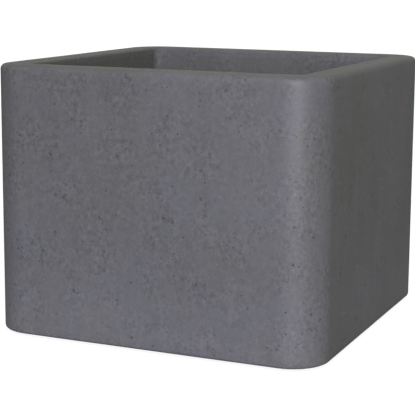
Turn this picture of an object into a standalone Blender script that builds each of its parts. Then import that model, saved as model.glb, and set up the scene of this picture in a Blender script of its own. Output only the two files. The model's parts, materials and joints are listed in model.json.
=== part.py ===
"""Square precast-concrete street planter, with its cast-in and loose fittings.

Metres, +Z up. The origin is at the middle of the base, on the ground that the
rubber pads stand on. The front looks along -Y, and the right-hand side along +X.
"""

from math import cos, pi, radians, sin, tan

import bmesh
import bpy
from mathutils import Matrix, Vector

# Driving dimensions of the casting
WIDTH = 0.900
HEIGHT = 0.700
RIM_THICKNESS = 0.080
INNER_DRAFT = radians(0.95)
FLOOR_THICKNESS = 0.090
OUTER_CORNER_RADIUS = 0.100
INNER_CORNER_RADIUS = 0.020
RIM_OUTER_ROUND = 0.014
RIM_INNER_ROUND = 0.008
BASE_ROUND = 0.009
FLOOR_FILLET = 0.025
CORNER_SEGMENTS = 8
EDGE_SEGMENTS = 4

# Gap between touching pieces, and how far a cutter runs past the face that it opens
GAP = 0.0003
CUTTER_RUN = 0.010

# Rubber pads in round pockets of the underside
PAD_PROUD = 0.004
PAD_RADIUS = 0.040
PAD_THICKNESS = 0.010
PAD_EDGE = 0.001
PAD_OFFSET = 0.300
PAD_SIDES = 20

# Drains: a pipe stub through the floor, with a slotted strainer let in flush over it
DRAIN_OFFSET = 0.200
SLEEVE_RADIUS = 0.025
SLEEVE_WALL = 0.002
STRAINER_RADIUS = 0.036
STRAINER_THICKNESS = 0.005
STRAINER_EDGE = 0.001
STRAINER_CLEARANCE = 0.001
SLOT_WIDTH = 0.0045
SLOT_PITCH = 0.008
SLOTS_EACH_SIDE = 2
SLOT_REACH = 0.022
DRAIN_SIDES = 24

# Lifting sockets: threaded tubes in the inner walls, each with a cross bar and a cap
SOCKET_HEIGHT = 0.520
SOCKET_RADIUS = 0.011
SOCKET_BORE_RADIUS = 0.007
SOCKET_BORE_DEPTH = 0.034
SOCKET_LENGTH = 0.060
SOCKET_SIDES = 16
CROSS_BAR_RADIUS = 0.005
CROSS_BAR_LENGTH = 0.100
CROSS_BAR_FROM_TAIL = 0.010
CROSS_BAR_SIDES = 12
CAP_RADIUS = 0.017
CAP_POCKET_RADIUS = 0.018
CAP_POCKET_DEPTH = 0.006
CAP_THICKNESS = 0.004
CAP_EDGE = 0.001
CAP_STEM_RADIUS = 0.0065
CAP_STEM_LENGTH = 0.014
CAP_SLOT = (0.020, 0.003, 0.0015)

# Reinforcement: U-shaped bars both ways, and hoops tied just inside their legs
BAR_RADIUS = 0.004
BAR_SIDES = 8
BAR_COVER = 0.032
BAR_FLOOR_COVER = 0.030
BAR_TOP_COVER = 0.035
BAR_SPACING = 0.180
BARS_EACH_WAY = 4
BAR_BEND_RADIUS = 0.040
HOOP_BEND_RADIUS = 0.070
BEND_SEGMENTS = 3
LOWEST_HOOP = 0.140
HIGHEST_HOOP = 0.645

# Spacers that hold the floor bars off the mould, and show as dots on the underside
SPACER_OFFSET = 0.180
SPACER_FOOT_RADIUS = 0.008
SPACER_HEAD_RADIUS = 0.005
SPACER_SIDES = 12

HALF = WIDTH / 2
UNDERSIDE = PAD_PROUD
FLOOR_TOP = UNDERSIDE + FLOOR_THICKNESS
CORNERS = {"front_left": (-1, -1), "front_right": (1, -1), "back_left": (-1, 1), "back_right": (1, 1)}
SIDE_TURNS = {"right": 0.0, "back": pi / 2, "left": pi, "front": -pi / 2}


def clear_scene():
    """Removes whatever objects the file opens with."""
    for thing in list(bpy.data.objects):
        bpy.data.objects.remove(thing, do_unlink=True)


def principled(name, colour, roughness, metallic=0.0):
    """A plain Principled material."""
    finish = bpy.data.materials.new(name)
    finish.use_nodes = True
    finish.diffuse_color = (*colour, 1.0)
    shader = finish.node_tree.nodes["Principled BSDF"]
    shader.inputs["Base Color"].default_value = (*colour, 1.0)
    shader.inputs["Roughness"].default_value = roughness
    shader.inputs["Metallic"].default_value = metallic
    return finish


def mesh_from(name, solid):
    """Turns a bmesh into a mesh with its faces pointing out, smooth but for its sharp edges."""
    bmesh.ops.recalc_face_normals(solid, faces=solid.faces)
    mesh = bpy.data.meshes.new(name)
    solid.to_mesh(mesh)
    solid.free()
    mesh.shade_smooth()
    mesh.set_sharp_from_angle(angle=radians(35.0))
    return mesh


def add_piece(name, mesh, finish, place=Matrix.Identity(4)):
    """A named piece of the planter, at its place."""
    piece = bpy.data.objects.new(name, mesh)
    if not mesh.materials:
        mesh.materials.append(finish)
    piece.matrix_world = place
    bpy.context.scene.collection.objects.link(piece)
    return piece


def new_group(name):
    """A collection that holds cutters."""
    group = bpy.data.collections.new(name)
    bpy.context.scene.collection.children.link(group)
    return group


def add_cutter(name, solid, group, place=Matrix.Identity(4)):
    """A wire object that only cuts others."""
    cutter = bpy.data.objects.new(name, mesh_from(name, solid))
    cutter.matrix_world = place
    cutter.hide_render = True
    cutter.display_type = "WIRE"
    group.objects.link(cutter)


def cut_with(piece, group):
    """Cuts every cutter of a group out of a piece."""
    modifier = piece.modifiers.new("openings", "BOOLEAN")
    modifier.operation = "DIFFERENCE"
    modifier.solver = "EXACT"
    modifier.operand_type = "COLLECTION"
    modifier.collection = group


def carved_mesh(name, solid, tools):
    """The mesh that is left of a solid when the tools are cut out of it."""
    group = new_group(f"{name}_tools")
    for number, tool in enumerate(tools):
        add_cutter(f"{name}_tool_{number}", tool, group)
    blank = bpy.data.objects.new(f"{name}_blank", mesh_from(name, solid))
    bpy.context.scene.collection.objects.link(blank)
    cut_with(blank, group)
    view = bpy.context.evaluated_depsgraph_get()
    mesh = bpy.data.meshes.new_from_object(blank.evaluated_get(view))
    for spent in (blank, *group.objects):
        bpy.data.objects.remove(spent, do_unlink=True)
    bpy.data.collections.remove(group)
    return mesh


def bridge(solid, lower, upper):
    """Joins two closed rings of vertices with a band of faces."""
    for i in range(len(lower)):
        solid.faces.new((lower[i - 1], lower[i], upper[i], upper[i - 1]))


def loft(loops, closed=False):
    """A solid through a stack of closed loops of points; a closed stack makes a tube."""
    solid = bmesh.new()
    rings = [[solid.verts.new(point) for point in loop] for loop in loops]
    for lower, upper in zip(rings, rings[1:]):
        bridge(solid, lower, upper)
    if closed:
        bridge(solid, rings[-1], rings[0])
    else:
        solid.faces.new(rings[0])
        solid.faces.new(rings[-1])
    return solid


def ring(radius, z, sides):
    """A regular ring of points about Z, whose flats are at the radius and face the axes."""
    reach = radius / cos(pi / sides)
    angles = [(k + 0.5) * 2 * pi / sides for k in range(sides)]
    return [Vector((reach * cos(a), reach * sin(a), z)) for a in angles]


def turned(profile, sides, closed=False):
    """A solid turned about Z from (radius, z) points."""
    return loft([ring(radius, z, sides) for radius, z in profile], closed)


def block(size, centre):
    """A rectangular solid."""
    solid = bmesh.new()
    scale = Matrix.Diagonal((*size, 1.0))
    bmesh.ops.create_cube(solid, size=1.0, matrix=Matrix.Translation(centre) @ scale)
    return solid


def rounded_square(half, radius, z):
    """Points of a level square with round corners, centred on the Z axis."""
    points = []
    centre = half - radius
    for quarter, (sx, sy) in enumerate(((1, 1), (-1, 1), (-1, -1), (1, -1))):
        for step in range(CORNER_SEGMENTS + 1):
            angle = (quarter + step / CORNER_SEGMENTS) * pi / 2
            points.append((sx * centre + radius * cos(angle), sy * centre + radius * sin(angle), z))
    return points


def wall_thickness(z):
    """Thickness of a wall at height z, which grows towards the floor."""
    return RIM_THICKNESS + (HEIGHT - z) * tan(INNER_DRAFT)


def shell_loops():
    """The casting's level outlines, from its underside over the rim and down to the floor."""
    quarter = [pi / 2 * step / EDGE_SEGMENTS for step in range(EDGE_SEGMENTS + 1)]
    loops = []
    for a in quarter:
        inset = BASE_ROUND * (1 - sin(a))
        z = UNDERSIDE + BASE_ROUND * (1 - cos(a))
        loops.append(rounded_square(HALF - inset, OUTER_CORNER_RADIUS - inset, z))
    for a in quarter:
        inset = RIM_OUTER_ROUND * (1 - cos(a))
        z = HEIGHT - RIM_OUTER_ROUND * (1 - sin(a))
        loops.append(rounded_square(HALF - inset, OUTER_CORNER_RADIUS - inset, z))
    for a in quarter:
        spread = RIM_INNER_ROUND * (1 - sin(a))
        z = HEIGHT - RIM_INNER_ROUND * (1 - cos(a))
        loops.append(rounded_square(HALF - RIM_THICKNESS + spread, INNER_CORNER_RADIUS + spread, z))
    wall_foot = FLOOR_TOP + FLOOR_FILLET
    foot_half = HALF - wall_thickness(wall_foot)
    for a in quarter:
        inset = FLOOR_FILLET * (1 - cos(a))
        z = wall_foot - FLOOR_FILLET * sin(a)
        loops.append(rounded_square(foot_half - inset, INNER_CORNER_RADIUS, z))
    return loops


def planter_shell(concrete, cutters):
    """The casting, with pockets and tunnels for all that is set into it."""
    shell = add_piece("planter_shell", mesh_from("planter_shell", loft(shell_loops())), concrete)
    cut_with(shell, cutters)


def base_pads(rubber, cutters):
    """Four rubber pads, each standing proud of its pocket."""
    profile = [(PAD_RADIUS - PAD_EDGE, 0.0), (PAD_RADIUS, PAD_EDGE), (PAD_RADIUS, PAD_THICKNESS)]
    mesh = mesh_from("base_pad", turned(profile, PAD_SIDES))
    pocket = [(PAD_RADIUS + GAP, UNDERSIDE - CUTTER_RUN), (PAD_RADIUS + GAP, PAD_THICKNESS + GAP)]
    for corner, (sx, sy) in CORNERS.items():
        place = Matrix.Translation((sx * PAD_OFFSET, sy * PAD_OFFSET, 0.0))
        add_piece(f"base_pad_{corner}", mesh, rubber, place)
        add_cutter(f"cut_pad_{corner}", turned(pocket, PAD_SIDES), cutters, place)


def strainer_slots():
    """Straight slots side by side, each as long as the bore under them allows."""
    slots = []
    for k in range(-SLOTS_EACH_SIDE, SLOTS_EACH_SIDE + 1):
        offset = k * SLOT_PITCH
        reach = (SLOT_REACH ** 2 - (abs(offset) + SLOT_WIDTH / 2) ** 2) ** 0.5
        slots.append(block((2 * reach, SLOT_WIDTH, 4 * STRAINER_THICKNESS), (0.0, offset, 0.0)))
    return slots


def strainer_mesh():
    """A flat slotted disc."""
    profile = [
        (STRAINER_RADIUS, 0.0),
        (STRAINER_RADIUS, STRAINER_THICKNESS - STRAINER_EDGE),
        (STRAINER_RADIUS - STRAINER_EDGE, STRAINER_THICKNESS),
    ]
    return carved_mesh("drain_strainer", turned(profile, DRAIN_SIDES), strainer_slots())


def drains(pipe_plastic, strainer_plastic, cutters):
    """A pipe stub and a strainer for each of the four drains."""
    bore = SLEEVE_RADIUS - SLEEVE_WALL
    seat = FLOOR_TOP - STRAINER_THICKNESS
    ledge = seat - GAP
    tube = [(bore, UNDERSIDE), (SLEEVE_RADIUS, UNDERSIDE), (SLEEVE_RADIUS, ledge), (bore, ledge)]
    sleeve = mesh_from("drain_sleeve", turned(tube, DRAIN_SIDES, closed=True))
    strainer = strainer_mesh()
    hole = [
        (SLEEVE_RADIUS + GAP, UNDERSIDE - CUTTER_RUN),
        (SLEEVE_RADIUS + GAP, ledge),
        (STRAINER_RADIUS + STRAINER_CLEARANCE, ledge),
        (STRAINER_RADIUS + STRAINER_CLEARANCE, FLOOR_TOP + CUTTER_RUN),
    ]
    for corner, (sx, sy) in CORNERS.items():
        place = Matrix.Translation((sx * DRAIN_OFFSET, sy * DRAIN_OFFSET, 0.0))
        over_sleeve = place @ Matrix.Translation((0.0, 0.0, seat))
        add_piece(f"drain_sleeve_{corner}", sleeve, pipe_plastic, place)
        add_piece(f"drain_strainer_{corner}", strainer, strainer_plastic, over_sleeve)
        add_cutter(f"cut_drain_{corner}", turned(hole, DRAIN_SIDES), cutters, place)


def cross_bar(grow):
    """The bar through a socket's tail, lying level across it."""
    reach = CROSS_BAR_LENGTH / 2 + grow
    radius = CROSS_BAR_RADIUS + grow
    bar = turned([(radius, -reach), (radius, reach)], CROSS_BAR_SIDES)
    place = Matrix.Translation((0.0, 0.0, SOCKET_LENGTH - CROSS_BAR_FROM_TAIL))
    bmesh.ops.transform(bar, matrix=place @ Matrix.Rotation(pi / 2, 4, "Y"), verts=bar.verts)
    return bar


def socket_mesh():
    """A tube with a blind bore at its mouth and a cross hole through its tail."""
    profile = [
        (SOCKET_BORE_RADIUS, SOCKET_BORE_DEPTH),
        (SOCKET_BORE_RADIUS, 0.0),
        (SOCKET_RADIUS, 0.0),
        (SOCKET_RADIUS, SOCKET_LENGTH),
    ]
    return carved_mesh("lifting_socket", turned(profile, SOCKET_SIDES), [cross_bar(GAP)])


def cap_mesh():
    """A round cap whose stem plugs the socket's bore, with a slot for a coin."""
    profile = [
        (CAP_RADIUS - CAP_EDGE, -CAP_THICKNESS),
        (CAP_RADIUS, CAP_EDGE - CAP_THICKNESS),
        (CAP_RADIUS, -GAP),
        (CAP_STEM_RADIUS, -GAP),
        (CAP_STEM_RADIUS, CAP_STEM_LENGTH),
    ]
    length, width, depth = CAP_SLOT
    slot = block((length, width, 2 * depth), (0.0, 0.0, -CAP_THICKNESS))
    return carved_mesh("socket_cap", turned(profile, SOCKET_SIDES), [slot])


def lifting_points(steel, cap_plastic, cutters):
    """A socket, its cross bar and its cap in the inside of each wall."""
    socket, cap = socket_mesh(), cap_mesh()
    bar = mesh_from("socket_cross_bar", cross_bar(0.0))
    pocket = [
        (CAP_POCKET_RADIUS, -CAP_POCKET_DEPTH - CUTTER_RUN),
        (CAP_POCKET_RADIUS, 0.0),
        (SOCKET_RADIUS + GAP, 0.0),
        (SOCKET_RADIUS + GAP, SOCKET_LENGTH + GAP),
    ]
    mouth = HALF - wall_thickness(SOCKET_HEIGHT) + CAP_POCKET_DEPTH
    facing_x = Matrix(((0, 0, 1, mouth), (1, 0, 0, 0), (0, 1, 0, SOCKET_HEIGHT), (0, 0, 0, 1)))
    for side, turn in SIDE_TURNS.items():
        place = Matrix.Rotation(turn, 4, "Z") @ facing_x
        add_piece(f"lifting_socket_{side}", socket, steel, place)
        add_piece(f"socket_cross_bar_{side}", bar, steel, place)
        add_piece(f"socket_cap_{side}", cap, cap_plastic, place)
        add_cutter(f"cut_socket_{side}", turned(pocket, SOCKET_SIDES), cutters, place)
        add_cutter(f"cut_cross_bar_{side}", cross_bar(GAP), cutters, place)


def bend(corner, arriving, leaving, radius):
    """Points of a right-angled bend between two unit directions."""
    centre = corner + (leaving - arriving) * radius
    angles = [pi / 2 * step / BEND_SEGMENTS for step in range(BEND_SEGMENTS + 1)]
    return [centre + (arriving * sin(a) - leaving * cos(a)) * radius for a in angles]


def swept_bar(path, normal, radius, closed):
    """A bar of even thickness along a flat path, whose plane has the given normal."""
    loops = []
    for i, point in enumerate(path):
        before = (point - path[i - 1]).normalized()
        after = (path[(i + 1) % len(path)] - point).normalized()
        if not closed and i == 0:
            before = after
        if not closed and i == len(path) - 1:
            after = before
        along = (before + after).normalized()
        across = along.cross(normal) / along.dot(after)
        loops.append([point + across * p.x + normal * p.y for p in ring(radius, 0.0, BAR_SIDES)])
    return loft(loops, closed)


def floor_bar(level, grow):
    """A U-shaped bar in the XZ plane, with its floor stretch at the given height."""
    reach = HALF - BAR_COVER - BAR_RADIUS
    top = HEIGHT - BAR_TOP_COVER + grow
    down, across, up = Vector((0, 0, -1)), Vector((1, 0, 0)), Vector((0, 0, 1))
    left = bend(Vector((-reach, 0, level)), down, across, BAR_BEND_RADIUS)
    right = bend(Vector((reach, 0, level)), across, up, BAR_BEND_RADIUS)
    path = [Vector((-reach, 0, top)), *left, *right, Vector((reach, 0, top))]
    return swept_bar(path, Vector((0, 1, 0)), BAR_RADIUS + grow, closed=False)


def hoop(grow):
    """A closed hoop in the XY plane, just inside the legs of the U-shaped bars."""
    reach = HALF - BAR_COVER - 3 * BAR_RADIUS - GAP
    ways = [Vector((1, 0, 0)), Vector((0, 1, 0)), Vector((-1, 0, 0)), Vector((0, -1, 0))]
    path = []
    for arriving, leaving in zip(ways, ways[1:] + ways[:1]):
        path += bend((arriving - leaving) * reach, arriving, leaving, HOOP_BEND_RADIUS)
    return swept_bar(path, Vector((0, 0, 1)), BAR_RADIUS + grow, closed=True)


def hoop_heights():
    """Heights of the hoops' middles; the third one passes right under the sockets."""
    under_sockets = SOCKET_HEIGHT - SOCKET_RADIUS - BAR_RADIUS - GAP
    return [LOWEST_HOOP, (LOWEST_HOOP + under_sockets) / 2, under_sockets, HIGHEST_HOOP]


def reinforcement(steel, cutters):
    """The bars, and the tunnels that they fill in the concrete."""
    lower = UNDERSIDE + BAR_FLOOR_COVER + BAR_RADIUS
    upper = lower + 2 * BAR_RADIUS + GAP
    for way, level, turn in (("x", lower, 0.0), ("y", upper, pi / 2)):
        mesh = mesh_from(f"floor_bar_{way}", floor_bar(level, 0.0))
        for number in range(BARS_EACH_WAY):
            offset = (number - (BARS_EACH_WAY - 1) / 2) * BAR_SPACING
            place = Matrix.Rotation(turn, 4, "Z") @ Matrix.Translation((0.0, offset, 0.0))
            add_piece(f"floor_bar_{way}_{number + 1}", mesh, steel, place)
            add_cutter(f"cut_floor_bar_{way}_{number + 1}", floor_bar(level, GAP), cutters, place)
    mesh = mesh_from("hoop_bar", hoop(0.0))
    for number, height in enumerate(hoop_heights()):
        place = Matrix.Translation((0.0, 0.0, height))
        add_piece(f"hoop_bar_{number + 1}", mesh, steel, place)
        add_cutter(f"cut_hoop_bar_{number + 1}", hoop(GAP), cutters, place)


def bar_spacers(plastic, cutters):
    """A plastic spacer under each end of the outermost floor bars."""
    head = UNDERSIDE + BAR_FLOOR_COVER
    body = [(SPACER_FOOT_RADIUS, UNDERSIDE), (SPACER_HEAD_RADIUS, head - GAP)]
    pocket = [
        (SPACER_FOOT_RADIUS + GAP, UNDERSIDE - CUTTER_RUN),
        (SPACER_FOOT_RADIUS + GAP, UNDERSIDE),
        (SPACER_HEAD_RADIUS + GAP, head),
    ]
    mesh = mesh_from("bar_spacer", turned(body, SPACER_SIDES))
    offset = (BARS_EACH_WAY - 1) / 2 * BAR_SPACING
    for corner, (sx, sy) in CORNERS.items():
        place = Matrix.Translation((sx * SPACER_OFFSET, sy * offset, 0.0))
        add_piece(f"bar_spacer_{corner}", mesh, plastic, place)
        add_cutter(f"cut_spacer_{corner}", turned(pocket, SPACER_SIDES), cutters, place)


def build_planter():
    """Builds every piece of the planter."""
    clear_scene()
    cutters = new_group("shell_cutters")
    base_pads(principled("rubber", (0.02, 0.02, 0.02), 0.85), cutters)
    pipe_plastic = principled("pipe_plastic", (0.30, 0.30, 0.31), 0.45)
    strainer_plastic = principled("strainer_plastic", (0.03, 0.03, 0.03), 0.5)
    drains(pipe_plastic, strainer_plastic, cutters)
    cap_plastic = principled("cap_plastic", (0.09, 0.09, 0.09), 0.45)
    lifting_points(principled("zinc_steel", (0.55, 0.56, 0.58), 0.35, 1.0), cap_plastic, cutters)
    reinforcement(principled("bar_steel", (0.22, 0.15, 0.11), 0.7, 0.6), cutters)
    bar_spacers(principled("spacer_plastic", (0.45, 0.45, 0.44), 0.5), cutters)
    planter_shell(principled("concrete", (0.14, 0.14, 0.155), 0.85), cutters)


build_planter()
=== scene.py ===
"""Looks of a square precast-concrete street planter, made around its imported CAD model.

Metres, +Z up, in the CAD model's own frame: the front looks along -Y.
"""

import json
import random
from math import cos, pi, radians, sin, tan

import bmesh
import bpy
from mathutils import Matrix, Vector, noise

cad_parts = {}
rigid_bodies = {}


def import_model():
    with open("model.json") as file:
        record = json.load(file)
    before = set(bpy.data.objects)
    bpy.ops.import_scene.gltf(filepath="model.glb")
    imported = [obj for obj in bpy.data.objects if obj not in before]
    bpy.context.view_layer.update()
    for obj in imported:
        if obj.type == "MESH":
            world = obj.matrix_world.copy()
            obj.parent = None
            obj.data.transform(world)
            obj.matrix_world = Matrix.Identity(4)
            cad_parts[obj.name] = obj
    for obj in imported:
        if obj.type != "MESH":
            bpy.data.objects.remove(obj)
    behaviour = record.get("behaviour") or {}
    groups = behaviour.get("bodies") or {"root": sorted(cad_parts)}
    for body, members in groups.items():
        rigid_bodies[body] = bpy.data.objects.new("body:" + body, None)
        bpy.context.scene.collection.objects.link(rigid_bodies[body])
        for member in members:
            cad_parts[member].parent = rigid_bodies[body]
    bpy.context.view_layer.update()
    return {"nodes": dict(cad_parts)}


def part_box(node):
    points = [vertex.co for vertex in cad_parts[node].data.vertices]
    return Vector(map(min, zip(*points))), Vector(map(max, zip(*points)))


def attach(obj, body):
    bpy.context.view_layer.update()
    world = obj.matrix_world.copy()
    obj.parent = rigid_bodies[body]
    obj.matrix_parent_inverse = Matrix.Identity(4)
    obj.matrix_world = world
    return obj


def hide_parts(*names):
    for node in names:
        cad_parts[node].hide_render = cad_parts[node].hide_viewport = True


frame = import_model()

# The casting; its outer sizes come from the frame
SHELL_LOW, SHELL_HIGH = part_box("planter_shell")
HALF = SHELL_HIGH.x
UNDERSIDE = SHELL_LOW.z
RIM = SHELL_HIGH.z
RIM_THICKNESS = 0.080
INNER_DRAFT = radians(0.95)
FLOOR_TOP = UNDERSIDE + 0.090
OUTER_CORNER_RADIUS = 0.100
INNER_CORNER_RADIUS = 0.020
RIM_OUTER_ROUND = 0.014
RIM_INNER_ROUND = 0.008
BASE_ROUND = 0.009
FLOOR_FILLET = 0.025
SURFACE_CELL = 0.014
EDGE_STEPS = 5
CORNER_CELLS = 11
SIDE_CELLS = round(2 * (HALF - OUTER_CORNER_RADIUS) / SURFACE_CELL)
SHARP_EDGE = radians(38.0)

# Openings in the casting, and how far their cutters run past its faces
CLEARANCE = 0.0004
STRAINER_CLEARANCE = 0.001
CUTTER_RUN = 0.03
CAP_POCKET_CLEARANCE = 0.001
ROUND_SIDES = 64
SLOT_END_STEPS = 8

# Air-bubble pores in the cast faces: what share of the cells has one where they are neither
# crowded nor calm, how large they are, and how much rarer the large ones are
PORE_SHARE = 0.12
PORE_RADIUS = (0.0009, 0.0034)
PORE_RARITY = 3.0
SMALLEST_PORE_CELL = 0.009
PATCHES_PER_METRE = 7.0
PATCH_CROWDING = (0.5, 1.6)
PATCH_SPREAD = 0.15
SIDE_CALM = 0.35

# A face looks down, or to a side, when its normal points that way by more than this
LOOKS_DOWN = 0.5
LOOKS_SIDEWAYS = 0.9

# A pore's form, in shares of its own radius
PORE_SIDES = 8
PORE_DEPTH = (0.5, 0.9)
PORE_OUTLINE = (0.82, 1.12)
PORE_WIDTH = (0.7, 1.0)
PORE_FLOOR = 0.62

# How wide a pore may be and how far out it may reach, in shares of its cell's shortest side, and
# how much of the room that is left it may wander over
WIDEST_PORE = 0.42
FARTHEST_PORE = 0.47
PORE_WANDER = 0.6

# How far the faces are set back at most, and the share and frequency of the swells and ripples
# in that
UNEVENNESS = 0.0006
SWELL_SHARE = 0.7
RIPPLE_SHARE = 0.3
SWELLS_PER_METRE = 6.0
RIPPLES_PER_METRE = 38.0
SEED = 11

# Fittings. A turned solid has a small flat of the axis radius in its middle.
AXIS_RADIUS = 0.001
PAD_EDGE = 0.001
PAD_GROOVES = ((0.009, 0.012), (0.017, 0.020), (0.025, 0.028), (0.033, 0.036))
PAD_GROOVE_DEPTH = 0.0012
PAD_GROOVE_SLOPE = 0.0004
PIPE_WALL = 0.002
PIPE_CHAMFER = 0.0005
STRAINER_EDGE = 0.001
STRAINER_CHAMFER = 0.0005
STRAINER_DISH = (0.031, 0.0007)
DISH_SLOPE = 0.0006
SLOT_WIDTH = 0.0045
SLOT_PITCH = 0.008
SLOTS_EACH_SIDE = 2
SLOT_REACH = 0.022
CAP_THICKNESS = 0.004
CAP_EDGE = 0.0011
CAP_STEM_RADIUS = 0.0065
CAP_RING = (0.0135, 0.0145, 0.0004)
COIN_SLOT = (0.020, 0.003, 0.0015)
SPACER_DIMPLE = (0.003, 0.0015)
SPACER_DIMPLE_SLOPE = 0.0006
SPACER_CHAMFER = 0.0004
SPACER_TOP_SHARE = 0.62
BAR_RIB_PITCH = 0.006

# Camera: where the photographer stood, and how the lens was turned
CAMERA_PLACE = Vector((1.4062, -3.2439, 0.9528))
CAMERA_TURN = 0.4102
CAMERA_TILT = 0.1640
CAMERA_ROLL = 0.0072
CAMERA_LENS = 113.0
CAMERA_FILM = 36.0
CAMERA_REACH = 100.0
CAMERA_SHIFT = (-0.0211, -0.066)

# Lights: a low soft sun in front, a tall strip to its right, wide soft lights overhead and behind,
# and a dim sky. A direction is an azimuth, from the front towards the right, and an elevation.
KEY_DIRECTION = (radians(18.0), radians(13.0))
KEY_SPREAD = radians(24.0)
KEY_STRENGTH = 2.18
KEY_COLOUR = (0.732, 0.75, 1.0)
STRIP_PLACE = Vector((1.92, -2.77, 0.98))
STRIP_SIZE = (0.45, 1.60)
STRIP_POWER = 29.0
STRIP_COLOUR = (0.92, 0.88, 0.76)
OVERHEAD_DIRECTION = (0.0, radians(89.0))
OVERHEAD_SPREAD = radians(60.0)
OVERHEAD_STRENGTH = 0.87
OVERHEAD_COLOUR = (0.92, 0.93, 1.0)
FILL_DIRECTION = (radians(208.0), radians(9.0))
FILL_SPREAD = radians(50.0)
FILL_STRENGTH = 2.3
FILL_COLOUR = (0.90, 0.92, 1.0)
SKY_STRENGTH = 0.27
SKY_COLOUR = (1.0, 1.0, 0.75, 1.0)
FLOOR_SIZE = 40.0
FLOOR_GAP = 0.0004
FLOOR_GLOW = 0.88
FLOOR_ALBEDO = 0.25
FLOOR_UNLIT_REACH = 0.34
UNLIT_CORE_SHARE = 0.8
WALL_RADIUS = 36.0
WALL_HEIGHT = 12.0

rng = random.Random(SEED)


# ---------------------------------------------------------------- mesh helpers


def smooth(mesh):
    """Shades a mesh smooth but for its sharp edges."""
    mesh.shade_smooth()
    mesh.set_sharp_from_angle(angle=SHARP_EDGE)


def object_from(name, bm):
    """A new object from a bmesh, smooth but for its sharp edges."""
    bmesh.ops.recalc_face_normals(bm, faces=bm.faces)
    mesh = bpy.data.meshes.new(name)
    bm.to_mesh(mesh)
    bm.free()
    smooth(mesh)
    made = bpy.data.objects.new(name, mesh)
    bpy.context.scene.collection.objects.link(made)
    return made


def bridge(bm, lower, upper):
    """A band of faces between two closed rings of vertices."""
    for i in range(len(lower)):
        bm.faces.new((lower[i - 1], lower[i], upper[i], upper[i - 1]))


def turned(profile, closed=False):
    """A round solid about Z from (radius, z) points, or a tube from a closed outline."""
    bm = bmesh.new()
    angles = [k * 2 * pi / ROUND_SIDES for k in range(ROUND_SIDES)]
    rings = [[bm.verts.new((r * cos(a), r * sin(a), z)) for a in angles] for r, z in profile]
    for lower, upper in zip(rings, rings[1:]):
        bridge(bm, lower, upper)
    if closed:
        bridge(bm, rings[-1], rings[0])
    else:
        bm.faces.new(rings[0])
        bm.faces.new(rings[-1])
    return bm


def rounding(radius, z, size, start, steps=4):
    """(radius, z) points of a quarter round about a centre, from a start angle in quarters."""
    angles = [(start + k / steps) * pi / 2 for k in range(steps + 1)]
    return [(radius + size * cos(a), z + size * sin(a)) for a in angles]


def stadium(length, width, low, high, offset=0.0):
    """An upright prism with round ends, as a slot's cutter."""
    bm = bmesh.new()
    reach = (length - width) / 2
    outline = []
    for end in (1, -1):
        for k in range(SLOT_END_STEPS + 1):
            a = pi * (k / SLOT_END_STEPS - 0.5)
            outline.append((end * (reach + width / 2 * cos(a)), offset + end * width / 2 * sin(a)))
    rings = [[bm.verts.new((x, y, z)) for x, y in outline] for z in (low, high)]
    bridge(bm, *rings)
    for ring in rings:
        bm.faces.new(ring)
    return bm


def carve(thing, tools):
    """Cuts a list of bmesh tools out of an object."""
    group = bpy.data.collections.new("tools")
    bpy.context.scene.collection.children.link(group)
    for number, tool in enumerate(tools):
        group.objects.link(object_from(f"tool_{number}", tool))
    modifier = thing.modifiers.new("openings", "BOOLEAN")
    modifier.operation = "DIFFERENCE"
    modifier.solver = "EXACT"
    modifier.operand_type = "COLLECTION"
    modifier.collection = group
    view = bpy.context.evaluated_depsgraph_get()
    mesh = bpy.data.meshes.new_from_object(thing.evaluated_get(view))
    thing.modifiers.clear()
    thing.data = mesh
    for tool in list(group.objects):
        bpy.data.objects.remove(tool, do_unlink=True)
    bpy.data.collections.remove(group)


def nodes_of(prefix):
    """Every CAD node whose name starts with the prefix, with the middle of its box and its box."""
    for name in sorted(frame["nodes"]):
        if name.startswith(prefix):
            low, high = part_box(name)
            yield name, (low + high) / 2, low, high


# ---------------------------------------------------------------- the casting


def add_ring(bm, half, radius, z):
    """A level square ring with round corners: side after side, each with the corner that ends it."""
    centre = half - radius
    verts = []
    for quarter in range(4):
        turn = Matrix.Rotation(quarter * pi / 2, 3, "Z")
        for i in range(SIDE_CELLS):
            along = centre * (2 * i / SIDE_CELLS - 1)
            verts.append(bm.verts.new(turn @ Vector((half, along, z))))
        for j in range(CORNER_CELLS):
            a = j / CORNER_CELLS * pi / 2
            point = Vector((centre + radius * cos(a), centre + radius * sin(a), z))
            verts.append(bm.verts.new(turn @ point))
    return verts


def fill_level(bm, ring, half, radius, z):
    """Closes a square ring with a grid, a strip along each side and a fan in each corner."""
    centre = half - radius
    steps = [centre * (2 * i / SIDE_CELLS - 1) for i in range(SIDE_CELLS + 1)]
    grid = [[bm.verts.new((x, y, z)) for y in steps] for x in steps]
    for i in range(SIDE_CELLS):
        for j in range(SIDE_CELLS):
            bm.faces.new((grid[i][j], grid[i + 1][j], grid[i + 1][j + 1], grid[i][j + 1]))
    last = SIDE_CELLS
    sides = [
        [grid[last][i] for i in range(last + 1)],
        [grid[last - i][last] for i in range(last + 1)],
        [grid[0][last - i] for i in range(last + 1)],
        [grid[i][0] for i in range(last + 1)],
    ]
    for quarter, side in enumerate(sides):
        start = quarter * (SIDE_CELLS + CORNER_CELLS)
        for i in range(last):
            bm.faces.new((side[i], ring[start + i], ring[start + i + 1], side[i + 1]))
        for j in range(CORNER_CELLS):
            first = start + SIDE_CELLS + j
            bm.faces.new((side[last], ring[first], ring[(first + 1) % len(ring)]))


def evenly(start, end):
    """Shares from 0 to 1, both left out, that cut a length into cells."""
    rows = max(1, round(abs(end - start) / SURFACE_CELL))
    return [k / rows for k in range(1, rows)]


def wall_thickness(z):
    """Thickness of a wall at height z, which grows towards the floor."""
    return RIM_THICKNESS + (RIM - z) * tan(INNER_DRAFT)


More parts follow.
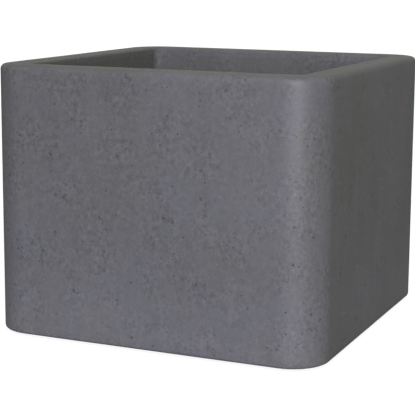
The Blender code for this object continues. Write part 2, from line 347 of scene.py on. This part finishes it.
def profile():
    """(half width, corner radius, z) of each ring, from the underside over the rim to the floor."""
    def outer(inset, z):
        return (HALF - inset, OUTER_CORNER_RADIUS - inset, z)

    quarter = [pi / 2 * k / EDGE_STEPS for k in range(EDGE_STEPS + 1)]
    low, high = UNDERSIDE + BASE_ROUND, RIM - RIM_OUTER_ROUND
    flat_start, flat_end = RIM_OUTER_ROUND, RIM_THICKNESS - RIM_INNER_ROUND
    wall_top, wall_foot = RIM - RIM_INNER_ROUND, FLOOR_TOP + FLOOR_FILLET
    levels = []
    for a in quarter:
        levels.append(outer(BASE_ROUND * (1 - sin(a)), UNDERSIDE + BASE_ROUND * (1 - cos(a))))
    for share in evenly(low, high):
        levels.append(outer(0.0, low + (high - low) * share))
    for a in quarter:
        levels.append(outer(RIM_OUTER_ROUND * (1 - cos(a)), high + RIM_OUTER_ROUND * sin(a)))
    for share in evenly(flat_start, flat_end):
        levels.append(outer(flat_start + (flat_end - flat_start) * share, RIM))
    for a in quarter:
        levels.append(outer(flat_end + RIM_INNER_ROUND * sin(a), wall_top + RIM_INNER_ROUND * cos(a)))
    for share in evenly(wall_top, wall_foot):
        z = wall_top + (wall_foot - wall_top) * share
        levels.append((HALF - wall_thickness(z), INNER_CORNER_RADIUS, z))
    foot = HALF - wall_thickness(wall_foot)
    for a in quarter:
        half = foot - FLOOR_FILLET * (1 - cos(a))
        levels.append((half, INNER_CORNER_RADIUS, wall_foot - FLOOR_FILLET * sin(a)))
    return levels


def casting_mesh():
    """The casting as a bmesh of even cells, still without its openings."""
    bm = bmesh.new()
    levels = profile()
    rings = [add_ring(bm, *level) for level in levels]
    for lower, upper in zip(rings, rings[1:]):
        bridge(bm, lower, upper)
    fill_level(bm, rings[0], *levels[0])
    fill_level(bm, rings[-1], *levels[-1])
    return bm


def placed(bm, place):
    """A bmesh moved to a place."""
    bmesh.ops.transform(bm, matrix=place, verts=bm.verts)
    return bm


def facing(node_middle):
    """A matrix whose Z looks level and outward from the planter's axis through a wall fitting."""
    outward = Vector((node_middle.x, node_middle.y, 0.0)).normalized()
    turn = outward.to_track_quat("Z", "X").to_matrix().to_4x4()
    return Matrix.Translation(node_middle) @ turn


def on_axis_of(middle):
    """A matrix that moves a tool level, onto the upright axis of a fitting."""
    return Matrix.Translation((middle.x, middle.y, 0.0))


def opening_tools():
    """Cutters for the pads, drains, spacers and lifting sockets."""
    tools = []
    start = UNDERSIDE - CUTTER_RUN
    for _, middle, low, high in nodes_of("base_pad"):
        radius = (high.x - low.x) / 2 + CLEARANCE
        hole = [(radius, start), (radius, high.z + CLEARANCE)]
        tools.append(placed(turned(hole), on_axis_of(middle)))
    for _, middle, low, high in nodes_of("bar_spacer"):
        radius = (high.x - low.x) / 2 + CLEARANCE
        hole = [(radius, start), (radius, high.z)]
        tools.append(placed(turned(hole), on_axis_of(middle)))
    _, _, strainer_low, strainer_high = next(nodes_of("drain_strainer"))
    rebate = (strainer_high.x - strainer_low.x) / 2 + STRAINER_CLEARANCE
    for _, middle, low, high in nodes_of("drain_sleeve"):
        radius = (high.x - low.x) / 2 + CLEARANCE
        hole = [(radius, start), (radius, high.z)]
        hole += [(rebate, high.z), (rebate, FLOOR_TOP + CUTTER_RUN)]
        tools.append(placed(turned(hole), on_axis_of(middle)))
    for side in ("front", "right", "back", "left"):
        _, socket_middle, low, high = next(nodes_of(f"lifting_socket_{side}"))
        _, _, cap_low, cap_high = next(nodes_of(f"socket_cap_{side}"))
        radius = (high.z - low.z) / 2 + CLEARANCE
        pocket = (cap_high.z - cap_low.z) / 2 + CAP_POCKET_CLEARANCE
        half = max(high.x - low.x, high.y - low.y) / 2
        hole = [(pocket, -half - CUTTER_RUN), (pocket, -half)]
        hole += [(radius, -half), (radius, half + CLEARANCE)]
        tools.append(placed(turned(hole), facing(socket_middle)))
    return tools


def pore_cells(bm):
    """The even four-sided cells that a pore may take, but none on the underside."""
    cells = []
    for face in bm.faces:
        if len(face.verts) != 4 or face.normal.z < -LOOKS_DOWN:
            continue
        lengths = [edge.calc_length() for edge in face.edges]
        if min(lengths) > SMALLEST_PORE_CELL and max(lengths) < 2 * SURFACE_CELL:
            cells.append((face, min(lengths)))
    return cells


def crowding(point, normal):
    """How thickly pores gather at a place: in patches, and less on the left and right faces."""
    least, more = PATCH_CROWDING
    patches = least + more * max(0.0, noise.noise(point * PATCHES_PER_METRE) + PATCH_SPREAD)
    calm = SIDE_CALM if abs(normal.x) > LOOKS_SIDEWAYS else 1.0
    return patches * calm


def carve_pore(bm, face, room, mark):
    """Replaces a cell by a collar round an uneven little bowl."""
    corners = list(face.verts)
    normal = face.normal.copy()
    centre = face.calc_center_median()
    across = (corners[0].co - centre).normalized()
    low, high = PORE_RADIUS
    radius = min(low + (high - low) * rng.random() ** PORE_RARITY, room * WIDEST_PORE)
    depth = radius * rng.uniform(*PORE_DEPTH)
    slack = (room * FARTHEST_PORE - radius) * PORE_WANDER
    side = normal.cross(across)
    centre = centre + across * rng.uniform(-slack, slack) + side * rng.uniform(-slack, slack)
    width = rng.uniform(*PORE_WIDTH)
    bm.faces.remove(face)
    rims, floors = [], []
    for k in range(PORE_SIDES):
        a = (k - 0.5) * 2 * pi / PORE_SIDES
        reach = radius * rng.uniform(*PORE_OUTLINE)
        offset = across * cos(a) * reach + side * sin(a) * reach * width
        rims.append(bm.verts.new(centre + offset))
        floor = bm.verts.new(centre + offset * PORE_FLOOR - normal * depth)
        # Marks the bowl's floor, where the concrete's colour gets painted shade
        floor[mark] = 1.0
        floors.append(floor)
    for i in range(len(corners)):
        j = (i + 1) % len(corners)
        first, second, third = rims[2 * i], rims[2 * i + 1], rims[(2 * i + 2) % PORE_SIDES]
        bm.faces.new((corners[i], second, first))
        bm.faces.new((corners[i], corners[j], third, second))
    bridge(bm, rims, floors)
    bm.faces.new(floors)


def carve_pores(shell):
    """Scatters pores over the cast faces, thicker in some places than in others."""
    bm = bmesh.new()
    bm.from_mesh(shell.data)
    # This layer marks the pores' floors, where the concrete's colour is darkened by painted shade
    mark = bm.verts.layers.float.new("pore")
    bm.normal_update()
    for face, room in pore_cells(bm):
        if rng.random() < PORE_SHARE * crowding(face.calc_center_median(), face.normal):
            carve_pore(bm, face, room, mark)
    bmesh.ops.recalc_face_normals(bm, faces=bm.faces)
    bm.to_mesh(shell.data)
    bm.free()


def settle_unevenly(shell):
    """Sets the faces back a little here and there, as a mould's slack leaves them."""
    normals = [vertex.normal.copy() for vertex in shell.data.vertices]
    for vertex, normal in zip(shell.data.vertices, normals):
        swell = 0.5 + 0.5 * noise.noise(vertex.co * SWELLS_PER_METRE)
        ripple = 0.5 + 0.5 * noise.noise(vertex.co * RIPPLES_PER_METRE)
        vertex.co -= normal * UNEVENNESS * (SWELL_SHARE * swell + RIPPLE_SHARE * ripple)


def make_casting(material):
    """The casting as seen: even cells, openings, pores and slight unevenness."""
    shell = object_from("concrete_casting", casting_mesh())
    carve(shell, opening_tools())
    carve_pores(shell)
    settle_unevenly(shell)
    smooth(shell.data)
    finish_piece(shell, "planter_shell", material)


# ---------------------------------------------------------------- fittings


def finish_piece(piece, node, material):
    """Gives a piece its material and its body, and hides the CAD node that it stands for."""
    piece.data.materials.clear()
    piece.data.materials.append(material)
    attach(piece, "root")
    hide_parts(node)


def copies(mesh_owner, prefix, name, material, place_of):
    """One piece with the mesh for each CAD node of a kind; the mesh's first owner is dropped."""
    for node, middle, low, high in nodes_of(prefix):
        piece = bpy.data.objects.new(f"{name}{node.removeprefix(prefix)}", mesh_owner.data)
        piece.matrix_world = place_of(middle, low, high)
        bpy.context.scene.collection.objects.link(piece)
        finish_piece(piece, node, material)
    bpy.data.objects.remove(mesh_owner, do_unlink=True)


def standing(middle, low, high):
    """The place of an upright fitting: on its CAD node's axis, from the node's foot up."""
    return Matrix.Translation((middle.x, middle.y, low.z))


def make_pads(material):
    """Rubber pads with a soft edge and round grooves in their soles."""
    _, _, low, high = next(nodes_of("base_pad"))
    radius, thickness = (high.x - low.x) / 2, high.z - low.z
    sole = [(AXIS_RADIUS, 0.0)]
    for start, end in PAD_GROOVES:
        sole += [(start, 0.0), (start + PAD_GROOVE_SLOPE, PAD_GROOVE_DEPTH)]
        sole += [(end - PAD_GROOVE_SLOPE, PAD_GROOVE_DEPTH), (end, 0.0)]
    edge = rounding(radius - PAD_EDGE, PAD_EDGE, PAD_EDGE, -1)
    pad = object_from("pad", turned(sole + edge + [(radius, thickness)]))
    copies(pad, "base_pad", "rubber_pad", material, standing)


def make_pipes(material):
    """Pipe stubs with chamfered ends."""
    _, _, low, high = next(nodes_of("drain_sleeve"))
    outer, length = (high.x - low.x) / 2, high.z - low.z
    bore, cut = outer - PIPE_WALL, PIPE_CHAMFER
    outline = [
        (bore, cut), (bore + cut, 0.0), (outer - cut, 0.0), (outer, cut),
        (outer, length - cut), (outer - cut, length), (bore + cut, length), (bore, length - cut),
    ]
    pipe = object_from("pipe", turned(outline, closed=True))
    copies(pipe, "drain_sleeve", "drain_pipe", material, standing)


def make_strainers(material):
    """Slotted discs with a soft edge and a slightly sunk middle."""
    _, _, low, high = next(nodes_of("drain_strainer"))
    radius, thickness = (high.x - low.x) / 2, high.z - low.z
    dish, sunk = STRAINER_DISH
    edge = rounding(radius - STRAINER_EDGE, thickness - STRAINER_EDGE, STRAINER_EDGE, 0)
    outline = [(radius - STRAINER_CHAMFER, 0.0), (radius, STRAINER_CHAMFER)] + edge
    outline += [(dish + DISH_SLOPE, thickness)]
    outline += [(dish, thickness - sunk), (AXIS_RADIUS, thickness - sunk)]
    strainer = object_from("strainer", turned(outline))
    slots = []
    for k in range(-SLOTS_EACH_SIDE, SLOTS_EACH_SIDE + 1):
        offset = k * SLOT_PITCH
        reach = (SLOT_REACH ** 2 - (abs(offset) + SLOT_WIDTH / 2) ** 2) ** 0.5
        slots.append(stadium(2 * reach, SLOT_WIDTH, -thickness, 2 * thickness, offset))
    carve(strainer, slots)
    smooth(strainer.data)
    copies(strainer, "drain_strainer", "strainer", material, standing)


def make_caps(material):
    """Round caps with a coin slot, a fine ring and a stem in the socket's bore."""
    _, _, low, high = next(nodes_of("socket_cap_right"))
    radius, length = (high.z - low.z) / 2, high.x - low.x
    inner, outer, sunk = CAP_RING
    outline = [(AXIS_RADIUS, 0.0), (inner, 0.0), (inner, sunk), (outer, sunk), (outer, 0.0)]
    outline += rounding(radius - CAP_EDGE, CAP_EDGE, CAP_EDGE, -1)
    outline += [(radius, CAP_THICKNESS - CLEARANCE), (CAP_STEM_RADIUS, CAP_THICKNESS - CLEARANCE)]
    outline += [(CAP_STEM_RADIUS, length - CAP_EDGE), (CAP_STEM_RADIUS - CAP_EDGE, length)]
    cap = object_from("cap", turned(outline))
    slot_length, slot_width, slot_depth = COIN_SLOT
    carve(cap, [stadium(slot_length, slot_width, -slot_depth, slot_depth)])
    smooth(cap.data)
    back_by_half = Matrix.Translation((0.0, 0.0, -length / 2))

    def in_the_wall(middle, low, high):
        return facing(middle) @ back_by_half

    copies(cap, "socket_cap", "cap", material, in_the_wall)


def make_spacers(material):
    """Tapered spacers whose feet show on the underside, each with a moulding dimple."""
    _, _, low, high = next(nodes_of("bar_spacer"))
    foot, height = (high.x - low.x) / 2, high.z - low.z
    dimple, depth = SPACER_DIMPLE
    outline = [(AXIS_RADIUS / 2, depth), (dimple, depth), (dimple + SPACER_DIMPLE_SLOPE, 0.0)]
    outline += [(foot - SPACER_CHAMFER, 0.0), (foot, SPACER_CHAMFER), (foot * SPACER_TOP_SHARE, height)]
    spacer = object_from("spacer", turned(outline))
    copies(spacer, "bar_spacer", "spacer", material, standing)


# ---------------------------------------------------------------- materials

# Albedos and tints of the concrete. Its outside drifts between two slight tints, and its inside is
# rougher;
# the inside's slightly darker albedo and yellower tint are painted shade, the colour of the warmer
# shade inside.
CONCRETE_ALBEDO = 0.275
WARMER_TINT = (1.0, 0.985, 0.975)
COOLER_TINT = (0.99, 0.975, 1.02)
INSIDE_SHADE_ALBEDO = 0.268
INSIDE_SHADE_TINT = (1.0, 0.99, 0.89)
INSIDE_ROUGHER = 0.28
FLECK_ALBEDO = 0.26
# Painted shade in the pinholes and pores: the dark albedo that they are blended towards
PAINTED_PORE_SHADE_ALBEDO = 0.035

# The concrete's shade, which is halved when it is used, and how far each layer swings it
SHADE = 0.99
CLOUD_SWING = 0.34
DRIFT_SWING = 0.24
STREAK_SWING = 0.16
MOTTLE_SWING = 0.87
SAND_SWING = 0.8
# Painted bounce light from the floor: how much paler the shade grows towards the foot, and how high
# that reaches
PAINTED_BOUNCE_PALENESS = 0.18
PAINTED_BOUNCE_REACH = 0.28
FLECK_STRENGTH = 0.35
# How far painted shade darkens the pinholes and the pores' floors
PAINTED_PORE_SHADE_STRENGTH = 0.46
PATCH_EDGES = (0.42, 0.60)

# Heights of the bumps
CONCRETE_BUMP = 0.0006
RUBBER_BUMP = 0.0003
PLASTIC_BUMP = 0.00015
FILLED_PLASTIC_BUMP = 0.0003
ZINC_BUMP = 0.0001
RIB_BUMP = 0.0006


class Nodes:
    """Short calls for building one material's nodes."""

    def __init__(self, name):
        self.material = bpy.data.materials.new(name)
        self.material.use_nodes = True
        self.tree = self.material.node_tree
        self.shader = self.tree.nodes["Principled BSDF"]
        self.place = self.add("ShaderNodeTexCoord").outputs["Object"]

    def add(self, kind, **settings):
        node = self.tree.nodes.new(kind)
        for key, value in settings.items():
            setattr(node, key, value)
        return node

    def put(self, socket, value):
        if isinstance(value, bpy.types.NodeSocket):
            self.tree.links.new(value, socket)
        else:
            socket.default_value = value

    def stretched(self, scale, shift=(0.0, 0.0, 0.0)):
        """The place in the object, scaled along each axis and then shifted."""
        node = self.add("ShaderNodeMapping")
        self.put(node.inputs["Vector"], self.place)
        node.inputs["Scale"].default_value = scale
        node.inputs["Location"].default_value = shift
        return node.outputs["Vector"]

    def noise(self, scale, detail, roughness, vector=None):
        node = self.add("ShaderNodeTexNoise")
        self.put(node.inputs["Vector"], vector or self.place)
        node.inputs["Scale"].default_value = scale
        node.inputs["Detail"].default_value = detail
        node.inputs["Roughness"].default_value = roughness
        return node.outputs["Fac"]

    def cells(self, scale):
        """Distance to the nearest of scattered points, and that point's random colour."""
        node = self.add("ShaderNodeTexVoronoi")
        self.put(node.inputs["Vector"], self.place)
        node.inputs["Scale"].default_value = scale
        return node.outputs["Distance"], node.outputs["Color"]

    def red(self, colour):
        split = self.add("ShaderNodeSeparateColor")
        self.put(split.inputs["Color"], colour)
        return split.outputs["Red"]

    def axis(self, name):
        split = self.add("ShaderNodeSeparateXYZ")
        self.put(split.inputs["Vector"], self.place)
        return split.outputs[name]

    def off_axis(self):
        """The level distance from the planter's axis, measured squarely."""
        sides = [self.math("ABSOLUTE", self.axis(name)) for name in "XY"]
        return self.math("MAXIMUM", *sides)

    def math(self, operation, a, b=0.0):
        node = self.add("ShaderNodeMath", operation=operation)
        self.put(node.inputs[0], a)
        self.put(node.inputs[1], b)
        return node.outputs[0]

    def total(self, first, *others):
        for other in others:
            first = self.math("ADD", first, other)
        return first

    def swing(self, noise, amount):
        """A noise turned into a value that swings about 0."""
        return self.math("MULTIPLY", self.math("SUBTRACT", noise, 0.5), amount)

    def ramp(self, value, low, high, to_low=0.0, to_high=1.0):
        """Maps low..high onto to_low..to_high, smoothly and clamped."""
        node = self.add("ShaderNodeMapRange", interpolation_type="SMOOTHSTEP")
        for socket, given in zip(node.inputs, (value, low, high, to_low, to_high)):
            self.put(socket, given)
        return node.outputs["Result"]

    def blend(self, factor, a, b):
        """Colour a, or b where the factor is 1."""
        node = self.add("ShaderNodeMix", data_type="RGBA")
        self.put(node.inputs["Factor"], factor)
        self.put(node.inputs[6], a)
        self.put(node.inputs[7], b)
        return node.outputs[2]

    def attribute(self, name):
        return self.add("ShaderNodeAttribute", attribute_name=name).outputs["Fac"]

    def bump(self, height, distance, strength):
        node = self.add("ShaderNodeBump")
        node.inputs["Strength"].default_value = strength
        node.inputs["Distance"].default_value = distance
        self.put(node.inputs["Height"], height)
        return node.outputs["Normal"]

    def finish(self, colour, roughness, normal, metallic=0.0, specular=0.5):
        """Wires the shader up."""
        self.put(self.shader.inputs["Base Color"], colour)
        self.put(self.shader.inputs["Roughness"], roughness)
        self.put(self.shader.inputs["Normal"], normal)
        self.shader.inputs["Metallic"].default_value = metallic
        self.shader.inputs["Specular IOR Level"].default_value = specular
        return self.material


def grey(level, tint=(1.0, 1.0, 1.0)):
    """A grey with a slight tint, as RGBA."""
    return tuple(level * t for t in tint) + (1.0,)


def pinholes(n, scale, share, size, gathering=1.0):
    """1 inside scattered pinholes of uneven size, 0 elsewhere; a share of the cells has one."""
    distance, colour = n.cells(scale)
    reach = n.math("MULTIPLY", n.ramp(n.red(colour), 1.0 - share, 1.0, 0.0, size), gathering)
    return n.ramp(n.math("SUBTRACT", reach, distance), 0.0, size * 0.5)


def concrete():
    """Dark concrete: cloudy, mottled in patches, speckled with sand and pricked with pinholes; painted
    shade darkens its pinholes, its pores and its inside, and painted bounce light from the floor makes
    it paler towards its foot.
    """
    n = Nodes("concrete")
    clouds = n.noise(2.6, 4.0, 0.55, n.stretched((1.0, 1.0, 1.0), (6.7, 7.6, 0.2)))
    drifts = n.noise(9.0, 3.0, 0.5, n.stretched((1.0, 1.0, 0.3), (4.2, 8.0, 5.6)))
    streaks = n.noise(26.0, 3.0, 0.6, n.stretched((1.0, 1.0, 0.04)))
    patches = n.noise(11.0, 3.0, 0.55)
    mottle = n.noise(110.0, 3.0, 0.6, n.stretched((1.0, 1.0, 0.85)))
    sand = n.noise(420.0, 3.0, 0.7)
    # Painted bounce light from the floor: the shade grows paler towards the foot
    painted_floor_bounce = n.ramp(n.axis("Z"), 0.0, PAINTED_BOUNCE_REACH, PAINTED_BOUNCE_PALENESS, 0.0)
    mottling = n.swing(mottle, MOTTLE_SWING)
    mottling = n.math("MULTIPLY", mottling, n.ramp(patches, *PATCH_EDGES, 0.55, 1.35))
    shade = n.total(
        SHADE, n.swing(clouds, CLOUD_SWING), n.swing(drifts, DRIFT_SWING),
        n.swing(streaks, STREAK_SWING), mottling, n.swing(sand, SAND_SWING), painted_floor_bounce,
    )

    inside = n.math("LESS_THAN", n.off_axis(), HALF - RIM_THICKNESS)
    cool = n.ramp(n.total(clouds, n.noise(5.0, 3.0, 0.6)), 0.86, 1.14)
    warmer, cooler = grey(CONCRETE_ALBEDO, WARMER_TINT), grey(CONCRETE_ALBEDO, COOLER_TINT)
    lightest = n.blend(cool, warmer, cooler)
    # Painted shade: the inside takes a yellower, slightly darker copy of the concrete's colour
    lightest = n.blend(inside, lightest, grey(INSIDE_SHADE_ALBEDO, INSIDE_SHADE_TINT))
    colour = n.blend(n.math("MULTIPLY", shade, 0.5), grey(0.0), lightest)

    flecks = n.math("MULTIPLY", pinholes(n, 150.0, 0.22, 0.42), FLECK_STRENGTH)
    colour = n.blend(flecks, colour, grey(FLECK_ALBEDO))
    gathering = n.ramp(patches, *PATCH_EDGES, 0.4, 1.2)
    small = pinholes(n, 170.0, 0.25, 0.45, gathering)
    large = pinholes(n, 80.0, 0.16, 0.42, gathering)
    holes = n.math("MAXIMUM", small, large)
    # Painted shade: the pinholes and the floors of the carved pores are darkened as if shade filled
    # them
    dark = n.math("MAXIMUM", holes, n.attribute("pore"))
    colour = n.blend(n.math("MULTIPLY", dark, PAINTED_PORE_SHADE_STRENGTH), colour, grey(PAINTED_PORE_SHADE_ALBEDO))

    height = n.total(n.math("MULTIPLY", sand, 0.35), n.math("MULTIPLY", mottle, 0.5))
    height = n.math("SUBTRACT", height, n.math("MULTIPLY", holes, 0.9))
    rough = n.ramp(mottle, 0.3, 0.7, 0.46, 0.54)
    rough = n.math("ADD", rough, n.math("MULTIPLY", inside, INSIDE_ROUGHER))
    return n.finish(colour, rough, n.bump(height, CONCRETE_BUMP, 0.7))


def moulded(name, colour, roughness, dust=0.25):
    """Moulded plastic: fine spark-eroded grain, faint flow marks, pale dust in patches."""
    n = Nodes(name)
    grain = n.noise(1600.0, 2.0, 0.6)
    flow = n.noise(55.0, 2.0, 0.5, n.stretched((1.0, 1.0, 4.0)))
    darker = tuple(0.82 * c for c in colour[:3]) + (1.0,)
    base = n.blend(n.ramp(flow, 0.35, 0.65), colour, darker)
    patches = n.ramp(n.noise(120.0, 4.0, 0.65), 0.48, 0.72, 0.0, dust)
    base = n.blend(patches, base, grey(0.26, (1.0, 0.97, 0.92)))
    rough = n.ramp(flow, 0.3, 0.7, roughness - 0.05, roughness + 0.05)
    rough = n.math("ADD", rough, n.math("MULTIPLY", patches, 0.5))
    return n.finish(base, rough, n.bump(grain, PLASTIC_BUMP, 0.6))


def rubber():
    """Matt black rubber: fine pitting, a greyish bloom and grit pressed into it."""
    n = Nodes("rubber")
    bloom = n.noise(70.0, 4.0, 0.6)
    pitting = n.noise(900.0, 3.0, 0.65)
    grit = pinholes(n, 380.0, 0.10, 0.40)
    greyish = grey(0.055, (1.0, 0.98, 0.95))
    colour = n.blend(n.ramp(bloom, 0.40, 0.68, 0.0, 0.45), grey(0.016), greyish)
    colour = n.blend(n.math("MULTIPLY", grit, 0.6), colour, grey(0.20, (1.0, 0.96, 0.90)))
    rough = n.ramp(bloom, 0.3, 0.7, 0.70, 0.88)
    return n.finish(colour, rough, n.bump(pitting, RUBBER_BUMP, 0.7), specular=0.35)


def spacer_finish():
    """Pale filled plastic: flecked and chalky."""
    n = Nodes("spacer")
    flecks = n.noise(700.0, 3.0, 0.7)
    haze = n.noise(90.0, 3.0, 0.6)
    colour = n.blend(n.ramp(flecks, 0.40, 0.66), grey(0.40, (1.0, 0.99, 0.96)), grey(0.26))
    colour = n.blend(n.ramp(haze, 0.45, 0.65, 0.0, 0.5), colour, grey(0.16))
    rough = n.ramp(haze, 0.3, 0.7, 0.62, 0.80)
    return n.finish(colour, rough, n.bump(flecks, FILLED_PLASTIC_BUMP, 0.7))


def zinc():
    """Galvanised steel: angular spangles of uneven brightness, dulled in patches."""
    n = Nodes("zinc")
    _, crystals = n.cells(240.0)
    spangle = n.red(crystals)
    dull = n.noise(110.0, 3.0, 0.6)
    colour = n.blend(spangle, (0.50, 0.51, 0.53, 1.0), (0.68, 0.69, 0.71, 1.0))
    colour = n.blend(n.ramp(dull, 0.50, 0.70, 0.0, 0.7), colour, (0.36, 0.36, 0.37, 1.0))
    rough = n.math("ADD", n.ramp(spangle, 0.0, 1.0, 0.28, 0.44), n.ramp(dull, 0.5, 0.7, 0.0, 0.2))
    grain = n.noise(800.0, 2.0, 0.6)
    return n.finish(colour, rough, n.bump(grain, ZINC_BUMP, 0.4), metallic=1.0)


def bar_steel():
    """Reinforcing steel: grey mill scale under rust, with slanting ribs."""
    n = Nodes("bar_steel")
    rust = n.noise(75.0, 5.0, 0.65)
    specks = n.noise(700.0, 3.0, 0.7)
    mill_scale, brown_rust = (0.085, 0.075, 0.072, 1.0), (0.215, 0.098, 0.045, 1.0)
    colour = n.blend(n.ramp(rust, 0.42, 0.60), mill_scale, brown_rust)
    colour = n.blend(n.ramp(specks, 0.55, 0.75, 0.0, 0.6), colour, (0.34, 0.17, 0.075, 1.0))
    sum_of_axes = n.total(n.axis("X"), n.axis("Y"), n.axis("Z"))
    turns = n.math("MULTIPLY", sum_of_axes, 2 * pi / BAR_RIB_PITCH)
    ribs = n.ramp(n.math("SINE", turns), 0.2, 0.9)
    height = n.math("ADD", ribs, n.math("MULTIPLY", specks, 0.3))
    rough = n.ramp(rust, 0.4, 0.6, 0.50, 0.85)
    return n.finish(colour, rough, n.bump(height, RIB_BUMP, 0.9), metallic=0.35)


def dress(prefix, material):
    """Gives a material to every CAD node of a kind that stays."""
    for name, _, _, _ in nodes_of(prefix):
        kept = frame["nodes"][name].data
        kept.materials.clear()
        kept.materials.append(material)


def make_pieces():
    """Every visible piece with its material, and the materials of the CAD nodes that stay."""
    make_casting(concrete())
    make_pads(rubber())
    make_pipes(moulded("pipe_plastic", grey(0.27, (1.0, 1.0, 1.03)), 0.38, 0.35))
    make_strainers(moulded("strainer_plastic", grey(0.028), 0.42))
    make_caps(moulded("cap_plastic", grey(0.075), 0.44))
    make_spacers(spacer_finish())
    galvanised = zinc()
    dress("lifting_socket", galvanised)
    dress("socket_cross_bar", galvanised)
    steel = bar_steel()
    dress("hoop_bar", steel)
    dress("floor_bar", steel)


# ---------------------------------------------------------------- stage


def make_camera():
    """The camera, turned, tilted and rolled at the photographer's place."""
    data = bpy.data.cameras.new("camera")
    data.lens = CAMERA_LENS
    data.sensor_width = CAMERA_FILM
    data.shift_x, data.shift_y = CAMERA_SHIFT
    data.clip_end = CAMERA_REACH
    camera = bpy.data.objects.new("camera", data)
    turn = Matrix.Rotation(CAMERA_TURN, 4, "Z") @ Matrix.Rotation(pi / 2 - CAMERA_TILT, 4, "X")
    roll = Matrix.Rotation(CAMERA_ROLL, 4, "Z")
    camera.matrix_world = Matrix.Translation(CAMERA_PLACE) @ turn @ roll
    bpy.context.scene.collection.objects.link(camera)
    bpy.context.scene.camera = camera


def glowing(name, albedo, glow, unlit_reach=0.0):
    """A plain matt finish with some light of its own, but none within a reach of the middle."""
    n = Nodes(name)
    n.shader.inputs["Base Color"].default_value = grey(albedo)
    n.shader.inputs["Roughness"].default_value = 0.9
    n.shader.inputs["Specular IOR Level"].default_value = 0.0
    n.shader.inputs["Emission Color"].default_value = grey(1.0)
    n.shader.inputs["Emission Strength"].default_value = glow
    if unlit_reach:
        faded = n.ramp(n.off_axis(), UNLIT_CORE_SHARE * unlit_reach, unlit_reach, 0.0, glow)
        n.put(n.shader.inputs["Emission Strength"], faded)
    return n.material


def make_floor():
    """A pale floor; its glow keeps shadows on it faint, and lights nothing but the floor.

    It doesn't glow under the base, so that the drains look dark from above.
    """
    bm = bmesh.new()
    bmesh.ops.create_grid(bm, x_segments=1, y_segments=1, size=FLOOR_SIZE)
    floor = object_from("floor", bm)
    floor.location.z = -FLOOR_GAP
    floor.data.materials.append(glowing("floor", FLOOR_ALBEDO, FLOOR_GLOW, FLOOR_UNLIT_REACH))
    receivers = bpy.data.collections.new("lit_by_floor")
    receivers.objects.link(floor)
    floor.light_linking.receiver_collection = receivers


def make_wall():
    """A distant white wall all round, which is only a background and takes no part in the light."""
    bm = bmesh.new()
    angles = [k * 2 * pi / ROUND_SIDES for k in range(ROUND_SIDES)]
    rings = []
    for z in (0.0, WALL_HEIGHT):
        rings.append([bm.verts.new((WALL_RADIUS * cos(a), WALL_RADIUS * sin(a), z)) for a in angles])
    bridge(bm, *rings)
    wall = object_from("wall", bm)
    wall.data.materials.append(glowing("wall", 0.0, 1.0))
    wall.visible_diffuse = False
    wall.visible_glossy = False
    wall.visible_shadow = False


def add_sun(name, azimuth, elevation, spread, strength, colour, sheen=False):
    """A distant soft light, its azimuth measured from the front towards the right."""
    data = bpy.data.lights.new(name, "SUN")
    data.energy = strength
    data.angle = spread
    data.color = colour
    lamp = bpy.data.objects.new(name, data)
    towards = Vector((sin(azimuth) * cos(elevation), -cos(azimuth) * cos(elevation), sin(elevation)))
    lamp.matrix_world = towards.to_track_quat("Z", "Y").to_matrix().to_4x4()
    lamp.visible_glossy = sheen
    bpy.context.scene.collection.objects.link(lamp)


def add_strip():
    """The tall panel whose sheen shows down the near corner."""
    data = bpy.data.lights.new("strip", "AREA")
    data.shape = "RECTANGLE"
    data.size, data.size_y = STRIP_SIZE
    data.energy = STRIP_POWER
    data.color = STRIP_COLOUR
    lamp = bpy.data.objects.new("strip", data)
    level = Vector((0.0, 0.0, STRIP_PLACE.z))
    turn = (STRIP_PLACE - level).to_track_quat("Z", "Y").to_matrix().to_4x4()
    lamp.matrix_world = Matrix.Translation(STRIP_PLACE) @ turn
    bpy.context.scene.collection.objects.link(lamp)


def make_lights():
    """The studio's lights, and its dim even sky."""
    add_sun("key", *KEY_DIRECTION, KEY_SPREAD, KEY_STRENGTH, KEY_COLOUR, sheen=True)
    add_sun("overhead", *OVERHEAD_DIRECTION, OVERHEAD_SPREAD, OVERHEAD_STRENGTH, OVERHEAD_COLOUR)
    add_sun("fill", *FILL_DIRECTION, FILL_SPREAD, FILL_STRENGTH, FILL_COLOUR)
    add_strip()
    world = bpy.data.worlds.new("studio")
    bpy.context.scene.world = world
    world.use_nodes = True
    background = world.node_tree.nodes["Background"]
    background.inputs["Color"].default_value = SKY_COLOUR
    background.inputs["Strength"].default_value = SKY_STRENGTH


make_pieces()
make_floor()
make_wall()
make_lights()
make_camera()
bpy.context.scene.view_settings.view_transform = "Standard"
